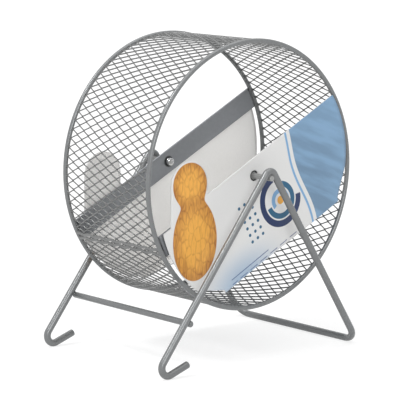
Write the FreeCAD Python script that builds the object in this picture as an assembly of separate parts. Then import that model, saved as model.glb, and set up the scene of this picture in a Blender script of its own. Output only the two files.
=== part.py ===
import FreeCAD, Part
import math
import os

# Exercise wheel for a hamster: a mesh drum that spins on two stub axles held by a bent-wire stand.
# Millimetres. +Z is up, the front faces -Y, and the axle lies along Y.
# The origin is on the floor, under the middle of the whole object.

# Drum
wheel_diameter = 152.4
wheel_width = 75.3
rim_wire_diameter = 2.7
mesh_drop = 0.5
mesh_thickness = 0.5
mesh_strand_width = 0.65
mesh_cell_round = 5.2
mesh_cell_along = 9.7
mesh_cells_per_panel = 7
mesh_seam_angle = 204.9
mesh_lap_cells = 1
mesh_lap_strand_width = 1.7
weld_seat = 0.12

# Flat bars across the two open faces
crossbar_width = 12.7
crossbar_thickness = 1.2
crossbar_tilt = 27.5

# Stub axles, bushes and caps
axle_height = 102.9
axle_diameter = 3.2
axle_end_chamfer = 0.3
running_clearance = 0.05
bush_seat = 0.05
bush_collar_diameter = 4.9
bush_collar_height = 1.0
bush_neck_diameter = 4.1
bush_flange_thickness = 0.4
cap_diameter = 4.6
cap_length = 2.2
cap_wall = 0.4
cap_dome_height = 0.7
cap_play = 0.2

# Stand, bent from one length of wire
stand_wire_diameter = 4.0
stand_width = 102.1
left_leg_angle = 37.2
right_leg_angle = 33.3
hook_bend_radius = 4.67
hook_rise_angle = 18.9
hook_length = 12.8
foot_bend_radius = 9.5
wire_end_chamfer = 0.5
cross_rod_diameter = 3.5
cross_rod_drop = 93.6
cross_rod_overhang = 0.4
cross_rod_chamfer = 0.4

# Folded card sleeve round the two crossbars
card_thickness = 0.45
card_seat = 0.1
card_front_rise = 3.0
card_ledge_rise = 0.25
card_rear_fall = 1.0
card_drop = 48.0
card_rear_drop = 52.5
card_ridge_drop = 34.7
card_rear_slip = 2.5
card_web_left = 47.1
card_web_right = 49.9
card_fold_radius = 1.1
card_rear_gap = 1.3
card_rear_middle_gap = 1.5
card_rear_low_gap = 2.8
card_rear_cut = 46.0
card_left_cut = 34.7
card_left_top_gap = 2.9
card_left_middle_gap = 1.2
card_left_low_gap = 0.4
card_right_cut = 32.8
card_right_top_gap = 0.6
card_right_middle_gap = 0.7
card_right_low_gap = 3.5
card_tab_centre_x = -47.2
card_tab_centre_z = -1.3
card_tab_radius = 13.0
card_hole_clearance = 0.5

# Sizes that follow from the ones above
origin = FreeCAD.Vector(0, 0, 0)
Y = FreeCAD.Vector(0, 1, 0)
Z = FreeCAD.Vector(0, 0, 1)
wire_r = stand_wire_diameter / 2
axle_r = axle_diameter / 2
rim_r = rim_wire_diameter / 2
rim_centre_r = wheel_diameter / 2 - rim_r
rim_inner_r = rim_centre_r - rim_r
rim_centre_y = wheel_width / 2 - rim_r
mesh_outer_r = wheel_diameter / 2 - mesh_drop
mesh_inner_r = mesh_outer_r - mesh_thickness
mesh_end_y = rim_centre_y - math.sqrt(rim_r ** 2 - (mesh_inner_r - rim_centre_r) ** 2) - weld_seat
crossbar_inner_y = rim_centre_y - crossbar_thickness / 2
crossbar_outer_y = crossbar_inner_y + crossbar_thickness
card_inner_y = wheel_width / 2 + card_seat
card_outer_y = card_inner_y + card_thickness
stand_y = stand_width / 2
apex_r = axle_r + weld_seat + wire_r
floor_z = wire_r - axle_height


def tilted(along, up, y=0.0):
    """Point given along and across the crossbars, in the plane at y."""
    turn = math.radians(crossbar_tilt)
    x = along * math.cos(turn) - up * math.sin(turn)
    z = along * math.sin(turn) + up * math.cos(turn)
    return FreeCAD.Vector(x, y, z)


def mirror_front(shape):
    """Copy of a front piece on the back of the object."""
    return shape.mirror(origin, Y)


def chamfer_round_ends(solid, radius, size):
    """Break the edges of the flat round ends of a rod or wire."""
    ends = []
    for face in solid.Faces:
        flat = isinstance(face.Surface, Part.Plane)
        if flat and abs(face.Area - math.pi * radius ** 2) < 1e-3 * face.Area:
            ends.extend(face.Edges)
    return solid.makeChamfer(size, ends)


def leg_points(side):
    """Key points of one A-shaped frame of the stand, in its plane: hook tip to right foot."""
    left = math.radians(left_leg_angle)
    right = math.radians(right_leg_angle)
    rise = math.radians(hook_rise_angle)
    y = side * stand_y
    left_top = FreeCAD.Vector(-apex_r * math.cos(left), y, apex_r * math.sin(left))
    right_top = FreeCAD.Vector(apex_r * math.cos(right), y, apex_r * math.sin(right))
    left_down = FreeCAD.Vector(-math.sin(left), 0, -math.cos(left))
    right_down = FreeCAD.Vector(math.sin(right), 0, -math.cos(right))
    inward = FreeCAD.Vector(math.cos(left), 0, -math.sin(left))
    bend_z = floor_z + hook_bend_radius
    left_run = (left_top.z - bend_z - hook_bend_radius * math.sin(left)) / math.cos(left)
    hook_start = left_top + left_down * left_run
    hook_centre = hook_start + inward * hook_bend_radius
    hook_low = hook_centre - Z * hook_bend_radius
    outward = FreeCAD.Vector(math.sin(rise), 0, -math.cos(rise))
    hook_end = hook_centre + outward * hook_bend_radius
    tip = hook_end + FreeCAD.Vector(math.cos(rise), 0, math.sin(rise)) * hook_length
    corner = right_top + right_down * ((right_top.z - floor_z) / math.cos(right))
    apex = FreeCAD.Vector(0, y, apex_r)
    return {
        "tip": tip, "hook_end": hook_end, "hook_low": hook_low, "hook_start": hook_start,
        "hook_centre": hook_centre, "left_top": left_top, "left_down": left_down, "inward": inward,
        "apex": apex, "right_top": right_top, "right_down": right_down, "corner": corner,
    }


def frame_edges(side):
    """Centre line of one frame, from the hook's tip to the bend at the right foot."""
    p = leg_points(side)
    along_floor = Y * -side
    bend_start = p["corner"] - p["right_down"] * foot_bend_radius
    bend_end = p["corner"] + along_floor * foot_bend_radius
    bend_centre = bend_start + along_floor * foot_bend_radius
    bend_middle = bend_centre + (p["right_down"] - along_floor).normalize() * foot_bend_radius
    edges = [
        Part.LineSegment(p["tip"], p["hook_end"]),
        Part.Arc(p["hook_end"], p["hook_low"], p["hook_start"]),
        Part.LineSegment(p["hook_start"], p["left_top"]),
        Part.Arc(p["left_top"], p["apex"], p["right_top"]),
        Part.LineSegment(p["right_top"], bend_start),
        Part.Arc(bend_start, bend_middle, bend_end),
    ]
    return [edge.toShape() for edge in edges], bend_end


def stand_wire():
    """One bent wire: hook, leg, apex, leg, floor bar, then the same at the back."""
    front, front_bar = frame_edges(-1)
    back, back_bar = frame_edges(1)
    bar = Part.LineSegment(front_bar, back_bar).toShape()
    path = Part.Wire(Part.__sortEdges__(front + [bar] + back))
    p = leg_points(-1)
    section = Part.Wire(Part.makeCircle(wire_r, p["tip"], p["hook_end"] - p["tip"]))
    solid = path.makePipeShell([section], True, False)
    return chamfer_round_ends(solid, wire_r, wire_end_chamfer)


def cross_rod():
    """Straight rod welded on the inner side of the two left legs."""
    p = leg_points(1)
    reach = wire_r + weld_seat + cross_rod_diameter / 2
    middle = p["left_top"] + p["left_down"] * cross_rod_drop + p["inward"] * reach
    end_y = stand_y + cross_rod_overhang
    start = FreeCAD.Vector(middle.x, -end_y, middle.z)
    rod = Part.makeCylinder(cross_rod_diameter / 2, 2 * end_y, start, Y)
    return chamfer_round_ends(rod, cross_rod_diameter / 2, cross_rod_chamfer)


def turned(profile):
    """Solid turned about the axle from (radius, y) points."""
    points = [FreeCAD.Vector(radius, y, 0) for radius, y in profile]
    face = Part.Face(Part.makePolygon(points + points[:1]))
    return face.revolve(origin, Y, 360)


def cap_mouth_y():
    """Where the front cap starts, just inside the bush's inner flange."""
    return -(crossbar_inner_y - bush_seat - bush_flange_thickness - cap_play)


def front_axle_stub():
    """Short rod under the front apex, reaching inwards through the bush into its cap."""
    start = -(stand_y + wire_r)
    end = cap_mouth_y() + cap_length - cap_dome_height - cap_wall
    rod = Part.makeCylinder(axle_r, end - start, FreeCAD.Vector(0, start, 0), Y)
    return chamfer_round_ends(rod, axle_r, axle_end_chamfer)


def front_axle_cap():
    """Push-on cap with a domed end, on the inner end of the front stub."""
    mouth = cap_mouth_y()
    shoulder = mouth + cap_length - cap_dome_height
    tip = mouth + cap_length
    cap_r = cap_diameter / 2
    bore_r = axle_r + bush_seat
    dome_r = (cap_r ** 2 + cap_dome_height ** 2) / (2 * cap_dome_height)
    half = math.asin(cap_r / dome_r) / 2
    dome_middle = FreeCAD.Vector(dome_r * math.sin(half), tip - dome_r * (1 - math.cos(half)), 0)
    floor = shoulder - cap_wall + bush_seat
    corners = [(0, tip), (0, floor), (bore_r, floor), (bore_r, mouth), (cap_r, mouth), (cap_r, shoulder)]
    points = [FreeCAD.Vector(radius, y, 0) for radius, y in corners]
    edges = [Part.makeLine(a, b) for a, b in zip(points, points[1:])]
    edges.append(Part.Arc(points[-1], dome_middle, points[0]).toShape())
    return Part.Face(Part.Wire(edges)).revolve(origin, Y, 360)


def front_bush():
    """Spool-shaped bush riveted in the front crossbar, with its collar in the card's hole."""
    bore_r = axle_r + running_clearance
    collar_r = bush_collar_diameter / 2
    neck_r = bush_neck_diameter / 2
    outer = -(crossbar_outer_y + bush_collar_height)
    collar = -(crossbar_outer_y + bush_seat)
    flange = -(crossbar_inner_y - bush_seat)
    inner = flange + bush_flange_thickness
    return turned([
        (bore_r, outer), (collar_r, outer), (collar_r, collar), (neck_r, collar),
        (neck_r, flange), (collar_r, flange), (collar_r, inner), (bore_r, inner),
    ])


def front_rim():
    """Round wire ring at the front edge of the drum."""
    return Part.makeTorus(rim_centre_r, rim_r, FreeCAD.Vector(0, -rim_centre_y, 0), Y)


def front_crossbar():
    """Flat bar welded by its ends to the inside of the front rim, with a hole for the bush."""
    end_r = rim_inner_r - weld_seat
    half_width = crossbar_width / 2
    half_length = math.sqrt(end_r ** 2 - half_width ** 2)
    corners = [(-1, -1), (1, -1), (1, 1), (-1, 1)]
    points = [tilted(a * half_length, u * half_width, -crossbar_outer_y) for a, u in corners]
    bar = Part.Face(Part.makePolygon(points + points[:1])).extrude(Y * crossbar_thickness)
    hole_r = bush_neck_diameter / 2 + bush_seat
    hole = Part.makeCylinder(hole_r, crossbar_thickness, FreeCAD.Vector(0, -crossbar_outer_y, 0), Y)
    return bar.cut(hole)


def notched_side(centres, depth, half_opening, half_length):
    """One zigzag side of a mesh column, from front to back: (cut, y, side of its notch) points."""
    points = []
    for end in (-half_length, half_length):
        inside = max([0.0] + [1 - abs(end - centre) / half_opening for centre in centres])
        points.append((depth * inside, end, 0))
    for centre in centres:
        for step, cut in ((-1, 0.0), (0, depth), (1, 0.0)):
            y = centre + step * half_opening
            if abs(y) < half_length:
                points.append((cut, y, step))
    return sorted(points, key=lambda point: point[1])


def mesh_panel(outer_r, columns, step, strand_width):
    """Sector of diamond mesh made of flat zigzag columns, mitred where they meet.

    Half a diamond is cut from each side of a column. A diamond is the lattice cell drawn in
    towards its middle until the strands have their width, and columns alternate by half a cell.
    """
    width = 2 * outer_r * math.sin(step / 2)
    half_cell = mesh_cell_along / 2
    across = width * half_cell / math.hypot(width, half_cell)
    share = 1 - strand_width / (2 * across)
    depth = width * share
    half_opening = half_cell * share
    mitre = mesh_thickness * math.tan(step / 2)
    slope = half_opening / depth
    rows = int(mesh_end_y / mesh_cell_along) + 2
    faces = []
    for column in range(columns):
        angle = (column + 0.5) * step
        normal = FreeCAD.Vector(math.cos(angle), 0, math.sin(angle))
        along = FreeCAD.Vector(-math.sin(angle), 0, math.cos(angle))
        middle = normal * (outer_r * math.cos(step / 2))
        sides = []
        for edge in (0, 1):
            shift = 0.5 * ((column + edge) % 2)
            centres = [(row + shift) * mesh_cell_along for row in range(-rows, rows)]
            side = notched_side(centres, depth, half_opening, mesh_end_y)
            sign = 1 - 2 * edge
            outer = []
            inner = []
            for cut, y, base in side:
                at_mitre = max(cut, mitre)
                lean = base * slope * mitre if cut == 0.0 else 0.0
                outer.append(middle + along * (sign * (cut - width / 2)) + Y * y)
                inner.append(middle - normal * mesh_thickness
                             + along * (sign * (at_mitre - width / 2)) + Y * (y - lean))
            sides.append((outer, inner))
            last = column == (columns - 1 if edge else 0)
            for i in range(len(side) - 1):
                bond = side[i][0] == 0.0 and side[i + 1][0] == 0.0
                if last or not bond:
                    faces.append([outer[i], outer[i + 1], inner[i + 1], inner[i]])
        (left_outer, left_inner), (right_outer, right_inner) = sides
        faces.append(left_outer + right_outer[::-1])
        faces.append(left_inner + right_inner[::-1])
        for end in (0, -1):
            faces.append([left_outer[end], right_outer[end], right_inner[end], left_inner[end]])
    shell = Part.makeShell([Part.Face(Part.makePolygon(face + face[:1])) for face in faces])
    shell.sewShape()
    return Part.makeSolid(shell)


def running_mesh():
    """Diamond mesh sheet rolled between the rims, in equal panels, and lapped at its seam."""
    panels = round(2 * math.pi * mesh_outer_r / (mesh_cells_per_panel * mesh_cell_round))
    columns = 2 * mesh_cells_per_panel
    step = 2 * math.pi / (panels * columns)
    panel = mesh_panel(mesh_outer_r, columns, step, mesh_strand_width)
    lap_r = mesh_outer_r + mesh_thickness + weld_seat
    lap = mesh_panel(lap_r, 2 * mesh_lap_cells, step, mesh_lap_strand_width)
    solids = []
    for i in range(panels):
        solids.append(panel.rotated(origin, Y, -(mesh_seam_angle + i * 360 / panels)))
    solids.append(lap.rotated(origin, Y, -(mesh_seam_angle + math.degrees(step))))
    return Part.makeCompound(solids)


def card_end(sign, top, cut, gaps):
    """Three spots of a panel's round end, top to bottom: how far along and up each lies.

    Each spot is at its own gap from the radius of the rim's inside.
    """
    heights = (top, (top - cut) / 2, -cut)
    spots = []
    for height, gap in zip(heights, gaps):
        spots.append((sign * math.sqrt((rim_inner_r - gap) ** 2 - height ** 2), height))
    return spots


def card_foot(drop):
    """Depth where a panel gives way to the fold along its foot."""
    return drop - 2 * card_fold_radius


def card_panel(start_y, top, ledge, left_end, right_end, drop, tab_z):
    """One card panel: a band along the crossbar with round ends, a round-topped tab and a hub hole.

    The band's upper edge is at the ledge's height to the left of the tab, and at the top's to its right.
    """
    foot = card_foot(drop)
    tab_left = card_tab_centre_x - card_tab_radius
    tab_right = card_tab_centre_x + card_tab_radius
    turn = math.radians(crossbar_tilt)

    def upright(x, height):
        """Point at a level x on the line at a height across the crossbar."""
        return FreeCAD.Vector(x, start_y, x * math.tan(turn) + height / math.cos(turn))

    top_right, right_middle, right_low = [tilted(*spot, start_y) for spot in right_end]
    left_top, left_middle, left_low = [tilted(*spot, start_y) for spot in left_end]
    web_right = tilted(card_web_right, -foot, start_y)
    web_left = tilted(-card_web_left, -foot, start_y)
    ledge_end = upright(tab_left, ledge)
    tab_l = FreeCAD.Vector(tab_left, start_y, tab_z)
    tab_top = FreeCAD.Vector(card_tab_centre_x, start_y, tab_z + card_tab_radius)
    tab_r = FreeCAD.Vector(tab_right, start_y, tab_z)
    tab_root = upright(tab_right, top)
    edges = [
        Part.Arc(top_right, right_middle, right_low).toShape(),
        Part.makeLine(right_low, web_right),
        Part.makeLine(web_right, web_left),
        Part.makeLine(web_left, left_low),
        Part.Arc(left_low, left_middle, left_top).toShape(),
        Part.makeLine(left_top, ledge_end),
        Part.makeLine(ledge_end, tab_l),
        Part.Arc(tab_l, tab_top, tab_r).toShape(),
        Part.makeLine(tab_r, tab_root),
        Part.makeLine(tab_root, top_right),
    ]
    panel = Part.Face(Part.Wire(edges)).extrude(Y * card_thickness)
    hole_r = bush_collar_diameter / 2 + card_hole_clearance
    hole = Part.makeCylinder(hole_r, card_thickness, FreeCAD.Vector(0, start_y, 0), Y)
    return panel.cut(hole)


def beside(points, gap):
    """A polyline moved sideways by a gap: each corner lies where its two moved edges meet."""
    ways = [(after - before).normalize() for before, after in zip(points, points[1:])]
    sides = [FreeCAD.Vector(-way.y, way.x) for way in ways]
    moved = []
    for point, before, after in zip(points, sides[:1] + sides, sides + sides[-1:]):
        moved.append(point + (before + after) * (gap / (1 + before.dot(after))))
    return moved


def card_edges(points, radii):
    """Edges of a (y, up) polyline at the web's end, with its inner corners rounded."""

    def placed(point):
        """Point of the cross-section in space."""
        return tilted(-card_web_left, point.y, point.x)

    edges = []
    last = points[0]
    for before, corner, after, radius in zip(points, points[1:], points[2:], radii):
        back = (before - corner).normalize()
        ahead = (after - corner).normalize()
        half = back.getAngle(ahead) / 2
        start = corner + back * (radius / math.tan(half))
        end = corner + ahead * (radius / math.tan(half))
        middle = corner + (back + ahead).normalize() * (radius / math.sin(half) - radius)
        edges.append(Part.makeLine(placed(last), placed(start)))
        edges.append(Part.Arc(placed(start), placed(middle), placed(end)).toShape())
        last = end
    edges.append(Part.makeLine(placed(last), placed(points[-1])))
    return edges


def card_channel():
    """Folded bottom of the card: a web creased up along its middle, with a fold along each panel's foot."""
    outer = [
        FreeCAD.Vector(-card_outer_y, -card_foot(card_drop)),
        FreeCAD.Vector(-card_outer_y, -card_drop),
        FreeCAD.Vector(0, -card_ridge_drop),
        FreeCAD.Vector(card_outer_y, -card_rear_drop),
        FreeCAD.Vector(card_outer_y, -card_foot(card_rear_drop)),
    ]
    inner = beside(outer, card_thickness)
    tight = card_fold_radius - card_thickness
    edges = card_edges(outer, (card_fold_radius, tight, card_fold_radius))
    edges.extend(card_edges(inner, (tight, card_fold_radius, tight)))
    for first, second in ((outer[0], inner[0]), (outer[-1], inner[-1])):
        edges.append(Part.makeLine(*[tilted(-card_web_left, spot.y, spot.x) for spot in (first, second)]))
    section = Part.Face(Part.Wire(Part.__sortEdges__(edges)))
    return section.extrude(tilted(card_web_left + card_web_right, 0))


def card_sleeve():
    """One sheet of card folded into a trough: front panel, web and back panel.

    The front panel stands above its crossbar. The back panel hangs lower, and only its tab stands above.
    """
    bar_top = crossbar_width / 2
    front_top = bar_top + card_front_rise
    ledge = bar_top + card_ledge_rise
    rear_top = bar_top - card_rear_fall
    left_gaps = (card_left_top_gap, card_left_middle_gap, card_left_low_gap)
    right_gaps = (card_right_top_gap, card_right_middle_gap, card_right_low_gap)
    rear_gaps = (card_rear_gap, card_rear_middle_gap, card_rear_low_gap)
    front_left = card_end(-1, ledge, card_left_cut, left_gaps)
    front_right = card_end(1, front_top, card_right_cut, right_gaps)
    rear_left, rear_right = [card_end(sign, rear_top, card_rear_cut, rear_gaps) for sign in (-1, 1)]
    tab_z = card_tab_centre_z
    rear_tab_z = tab_z - card_rear_slip
    front = card_panel(-card_outer_y, front_top, ledge, front_left, front_right, card_drop, tab_z)
    rear = card_panel(card_inner_y, rear_top, rear_top, rear_left, rear_right, card_rear_drop, rear_tab_z)
    return card_channel().fuse([front, rear]).removeSplitter()


def object_offset():
    """Move from the axle to the origin on the floor, under the middle of the object."""
    left = wire_r + hook_bend_radius - leg_points(-1)["hook_centre"].x
    right = max(wheel_diameter / 2, leg_points(-1)["corner"].x + wire_r)
    return FreeCAD.Vector((left - right) / 2, 0, axle_height)


nodes = {
    "stand_wire": stand_wire(),
    "cross_rod": cross_rod(),
    "running_mesh": running_mesh(),
    "card_sleeve": card_sleeve(),
}
for name, make in (
    ("axle_stub", front_axle_stub), ("axle_cap", front_axle_cap), ("bush", front_bush),
    ("rim", front_rim), ("crossbar", front_crossbar),
):
    nodes["front_" + name] = make()
    nodes["rear_" + name] = mirror_front(nodes["front_" + name])

os.makedirs("parts", exist_ok=True)
for name, shape in nodes.items():
    shape.translated(object_offset()).exportStep("parts/%s.step" % name)
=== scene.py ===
import math

import bmesh
import bpy
import numpy as np
from bpy.props import FloatProperty, FloatVectorProperty, IntProperty, PointerProperty
from mathutils import Matrix, Vector


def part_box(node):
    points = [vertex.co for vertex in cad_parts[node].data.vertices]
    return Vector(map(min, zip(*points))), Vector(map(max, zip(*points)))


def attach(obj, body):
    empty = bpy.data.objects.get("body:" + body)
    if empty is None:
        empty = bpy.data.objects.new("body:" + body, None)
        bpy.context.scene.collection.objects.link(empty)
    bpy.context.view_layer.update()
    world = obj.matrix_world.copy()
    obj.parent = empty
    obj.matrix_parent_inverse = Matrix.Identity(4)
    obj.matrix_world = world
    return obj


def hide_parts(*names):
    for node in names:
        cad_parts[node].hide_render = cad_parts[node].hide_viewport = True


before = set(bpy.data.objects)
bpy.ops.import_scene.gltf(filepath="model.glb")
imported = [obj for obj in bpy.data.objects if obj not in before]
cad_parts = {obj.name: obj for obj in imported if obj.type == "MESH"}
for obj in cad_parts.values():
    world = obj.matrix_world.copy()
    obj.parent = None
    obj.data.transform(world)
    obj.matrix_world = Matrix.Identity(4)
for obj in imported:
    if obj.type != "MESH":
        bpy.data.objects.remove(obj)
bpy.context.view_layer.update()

bl_info = {
    "name": "Hamster Exercise Wheel",
    "version": (1, 0, 0),
    "blender": (4, 5, 0),
    "location": "3D View > Sidebar > Wheel",
    "description": "Makes a diamond-mesh exercise wheel on its bent-wire stand, with its printed card",
    "category": "Add Mesh",
}

MM = 0.001
WHEEL = "wheel"
STAND = "stand"
ENDS = ("front", "rear")
EAST, LATERAL, UPWARD = np.eye(3)
FOOT_STEPS = 20         # points of the stand's bend from a leg into the floor bar
HUB_STEPS = 41          # grid lines across the square of even cells round the card's hole
INK_EDGE = 0.15         # softness of small printed shapes, in millimetres
BAND_EDGE = 0.2         # softness of printed bands, in millimetres


def node_box(node):
    """Lowest and highest corner of a solid of the frame, as arrays."""
    low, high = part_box(node)
    return np.array(low), np.array(high)


def half_size(node, axis):
    """Half of a solid's extent along an axis."""
    low, high = node_box(node)
    return float(high[axis] - low[axis]) / 2


rim_low, rim_high = node_box("front_rim")
AXLE = (rim_low + rim_high) / 2 * (1, 0, 1)
STUB_RADIUS = half_size("front_axle_stub", 0)
CARD_OUT = half_size("card_sleeve", 1)


# Sizes and colours in the sidebar

METRES = {"precision": 5, "unit": "LENGTH"}


def number(name, description, default, **more):
    """A number that the sidebar changes."""
    return FloatProperty(name=name, description=description, default=default, **more)


def numbers(name, description, default, **more):
    """Three numbers that the sidebar changes."""
    return FloatVectorProperty(name=name, description=description, default=default, size=3, **more)


def place(name, description, millimetres, **limits):
    """A distance along an axis, kept in metres."""
    return number(name, description, millimetres * MM, subtype="DISTANCE", **METRES, **limits)


def length(name, description, millimetres):
    """A length, kept in metres, which is not negative."""
    return place(name, description, millimetres, min=0.0)


def lengths(name, description, millimetres):
    """Three lengths or coordinates, kept in metres."""
    return numbers(name, description, [value * MM for value in millimetres], subtype="XYZ", **METRES)


def angle(name, description, degrees):
    """An angle, kept in radians."""
    return number(name, description, math.radians(degrees), unit="ROTATION", subtype="ANGLE")


def linear(level):
    """Linear light of an 8-bit display level, by the standard display curve."""
    shown = level / 255
    return shown / 12.92 if shown <= 0.04045 else ((shown + 0.055) / 1.055) ** 2.4


def colour(name, description, levels):
    """A colour, given in display levels and kept as linear light."""
    light = [linear(level) for level in levels]
    return numbers(name, description, light, min=0.0, max=1.0, subtype="COLOR")


def share(name, description, default):
    """A plain number from 0 to 1."""
    return number(name, description, default, min=0.0, max=1.0, subtype="FACTOR")


def brightness(name, description, default):
    """Strength of a lamp or of the light all round."""
    return number(name, description, default, min=0.0)


class StandSizes(bpy.types.PropertyGroup):
    """Sizes of the bent wire, the rod across it and the stub axles."""
    wire: length("Wire", "Diameter of the stand's wire", 4.0)
    left_angle: angle("Left Legs", "Lean of the legs that end in hooks, from upright", 37.2)
    right_angle: angle("Right Legs", "Lean of the legs that end in the floor bar, from upright", 33.3)
    apex_gap: length("Apex Gap", "Gap between a stub axle and the bend over it, which the weld fills", 0.12)
    hook_bend: length("Hook Bend", "Radius of the hook's bend, at the middle of the wire", 4.67)
    hook_rise: angle("Hook Rise", "Slope of the hook's straight end", 18.9)
    hook_end: length("Hook End", "Length of the hook's straight end", 12.8)
    foot_bend: length("Foot Bend", "Radius of the bend from a leg into the floor bar", 9.5)
    end_round: length("End Round", "Rounding of the wire's painted ends", 0.55)
    weld: length("Weld", "Half width of a weld nugget", 1.7)


class DrumSizes(bpy.types.PropertyGroup):
    """Sizes of the mesh, its rims and the flat bars."""
    cells: IntProperty(name="Cells", description="Diamonds round the drum", default=91, min=8)
    cell_along: length("Cell Length", "Length of a diamond along the axle", 9.7)
    strand_width: length("Strand Width", "Width of a mesh strand", 0.72)
    lap_width: length("Lap Strand", "Width of the flattened strands of the lap", 1.7)
    strand_depth: length("Strand Depth", "Thickness of a mesh strand", 0.8)
    strand_lean: angle("Strand Lean", "Tilt of a strand, left by the stretching of the sheet", 12.0)
    bond: length("Bond", "Half length of the join between two strands", 0.42)
    seam: angle("Seam", "Where the sheet's ends lap, round the axle from +X", 204.9)
    lap_gap: length("Lap Gap", "Gap between the two layers of the lap", 0.12)
    rim_grip: length("Rim Grip", "Distance of a strand's welded end from the middle of the rim wire", 0.4)
    bar_tilt: angle("Bar Tilt", "Slope of the flat bars and of the card", 27.5)
    bar_width: length("Bar Width", "Width of a flat bar", 12.7)
    bar_round: length("Bar Round", "Rounding of a flat bar's edges", 0.3)
    rim_weld: angle("Rim Weld", "Where a rim's ends are welded, round the axle from +X", 58.0)
    weld_spread: share("Weld Spread", "Distance of a bar's welds from its middle, in widths of the bar", 0.3)
    weld_depth: length("Weld Depth", "Half size of a bar's weld towards the rim", 0.8)
    weld_length: length("Weld Length", "Half size of a bar's weld along the rim", 1.7)
    weld_height: length("Weld Height", "Half size of a bar's weld along the axle", 0.5)


class CardSizes(bpy.types.PropertyGroup):
    """Sizes of the folded card."""
    thickness: length("Thickness", "Thickness of the card", 0.45)
    front_top: length("Front Top", "Height of the front panel's top above the axle, across the tilt", 9.35)
    ledge: length("Ledge", "Height of the front panel's top edge to the left of its tab", 6.6)
    rear_top: length("Rear Top", "Height of the rear panel's top edge above the axle", 5.35)
    drop: length("Drop", "Depth of the front panel below the axle, across the tilt", 48.0)
    rear_drop: length("Rear Drop", "Depth of the rear panel below the axle", 52.5)
    ridge: length("Ridge", "Depth of the crease along the middle of the web", 34.7)
    rear_slip: length("Rear Slip", "How much lower the rear panel's tab stands", 2.5)
    front_sink: length("Front Sink", "How much deeper the front panel is at the right than at the left", 1.3)
    web_left: length("Web Left", "Reach of the web to the left, along the tilt", 47.1)
    web_right: length("Web Right", "Reach of the web to the right, along the tilt", 49.9)
    fold: length("Fold", "Outer radius of the folds", 1.1)
    left_ends: lengths("Left End", "Axle to the front panel's left end, top to bottom", (70.6, 72.3, 73.1))
    left_cut: length("Left Cut", "Depth below the axle where the left end gives way to a cut corner", 34.7)
    right_ends: lengths("Right End", "Axle to the front panel's right end, top to bottom", (72.9, 72.8, 70.6))
    right_cut: length("Right Cut", "Depth below the axle where the right end gives way to a cut corner", 32.8)
    rear_ends: lengths("Rear Ends", "Axle to the rear panel's ends, top to bottom", (72.2, 72.0, 70.7))
    rear_cut: length("Rear Cut", "Depth below the axle where the rear ends give way to a cut corner", 46.0)
    tab_x: place("Tab Across", "Middle of the tab's round top, from the axle", -47.2)
    tab_z: place("Tab Height", "Middle of the tab's round top, above the axle", -1.3)
    tab_radius: length("Tab Radius", "Radius of the tab's round top", 13.0)
    hub_block: length("Hub Block", "Half size of the square of even cells round the hole", 5.0)
    hole: length("Hole", "Radius of the hole round the bush", 2.95)
    bow: length("Bow", "How far the panels belly out below the bars", 0.7)
    curl: length("Curl", "How far the cut corners curl in", 1.2)


class FinishSettings(bpy.types.PropertyGroup):
    """Colours and gloss of the finishes."""
    paint: colour("Paint", "Grey enamel on the wires", (120, 122, 123))
    # The bars' grey is the wires' enamel painted lighter, as painted light against the shade inside the drum.
    bar_paint_lightened: colour("Bar Paint", "Grey enamel on the flat bars", (138, 141, 145))
    mesh_paint: colour("Mesh Paint", "Grey enamel on the mesh", (120, 121, 121))
    hub_paint: colour("Hub Paint", "Grey enamel on the stub axles and bushes", (150, 151, 150))
    steel: colour("Steel", "Bright steel of the caps", (206, 207, 208))
    board: colour("Board", "Inner face of the card", (245, 244, 242))
    white: colour("White", "Coated face of the card", (222, 222, 221))
    navy: colour("Navy", "Darkest ink", (26, 46, 88))
    teal: colour("Teal", "Middle ink", (36, 92, 124))
    sky: colour("Sky", "Light ink", (122, 165, 205))
    water: colour("Water", "Ink of the wide band", (114, 146, 175))
    amber: colour("Amber", "Ink of the nut", (224, 164, 70))
    brown: colour("Brown", "Ink of the nut's net", (158, 96, 34))
    gloss: share("Paint Roughness", "Roughness of the enamel", 0.26)


class StudioSettings(bpy.types.PropertyGroup):
    """Camera, lamps and floor."""
    azimuth: angle("Azimuth", "Direction of the camera round the object", -41.009)
    elevation: angle("Elevation", "Height of the camera's line of sight", 8.717)
    roll: angle("Roll", "Turn of the camera about its line of sight", 0.649)
    eye: lengths("Eye", "Place of the camera, from the axle", (-758.75, -865.11, 157.97))
    lens: number("Lens", "Focal length for a 36 mm frame", 183.42, unit="CAMERA")
    key: brightness("Key", "Strength of the main lamp", 1.25)
    fill: brightness("Fill", "Strength of the lamp beside the camera", 1.08)
    strip: brightness("Strip", "Strength of the small lamp at the left", 1.3)
    sky: brightness("Sky", "Strength of the light all round", 0.33)
    floor: share("Floor", "Share of its light that the floor shows to the camera", 0.33)
    floor_bounce: share("Floor Bounce", "Share of its light that the floor gives back to the object", 0.85)
    floor_lift: share("Floor Lift", "Light added to the floor for the camera", 0.75)


class WheelSettings(bpy.types.PropertyGroup):
    """Everything that the sidebar changes."""
    stand: PointerProperty(type=StandSizes)
    drum: PointerProperty(type=DrumSizes)
    card: PointerProperty(type=CardSizes)
    finish: PointerProperty(type=FinishSettings)
    studio: PointerProperty(type=StudioSettings)


# Shader values

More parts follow.
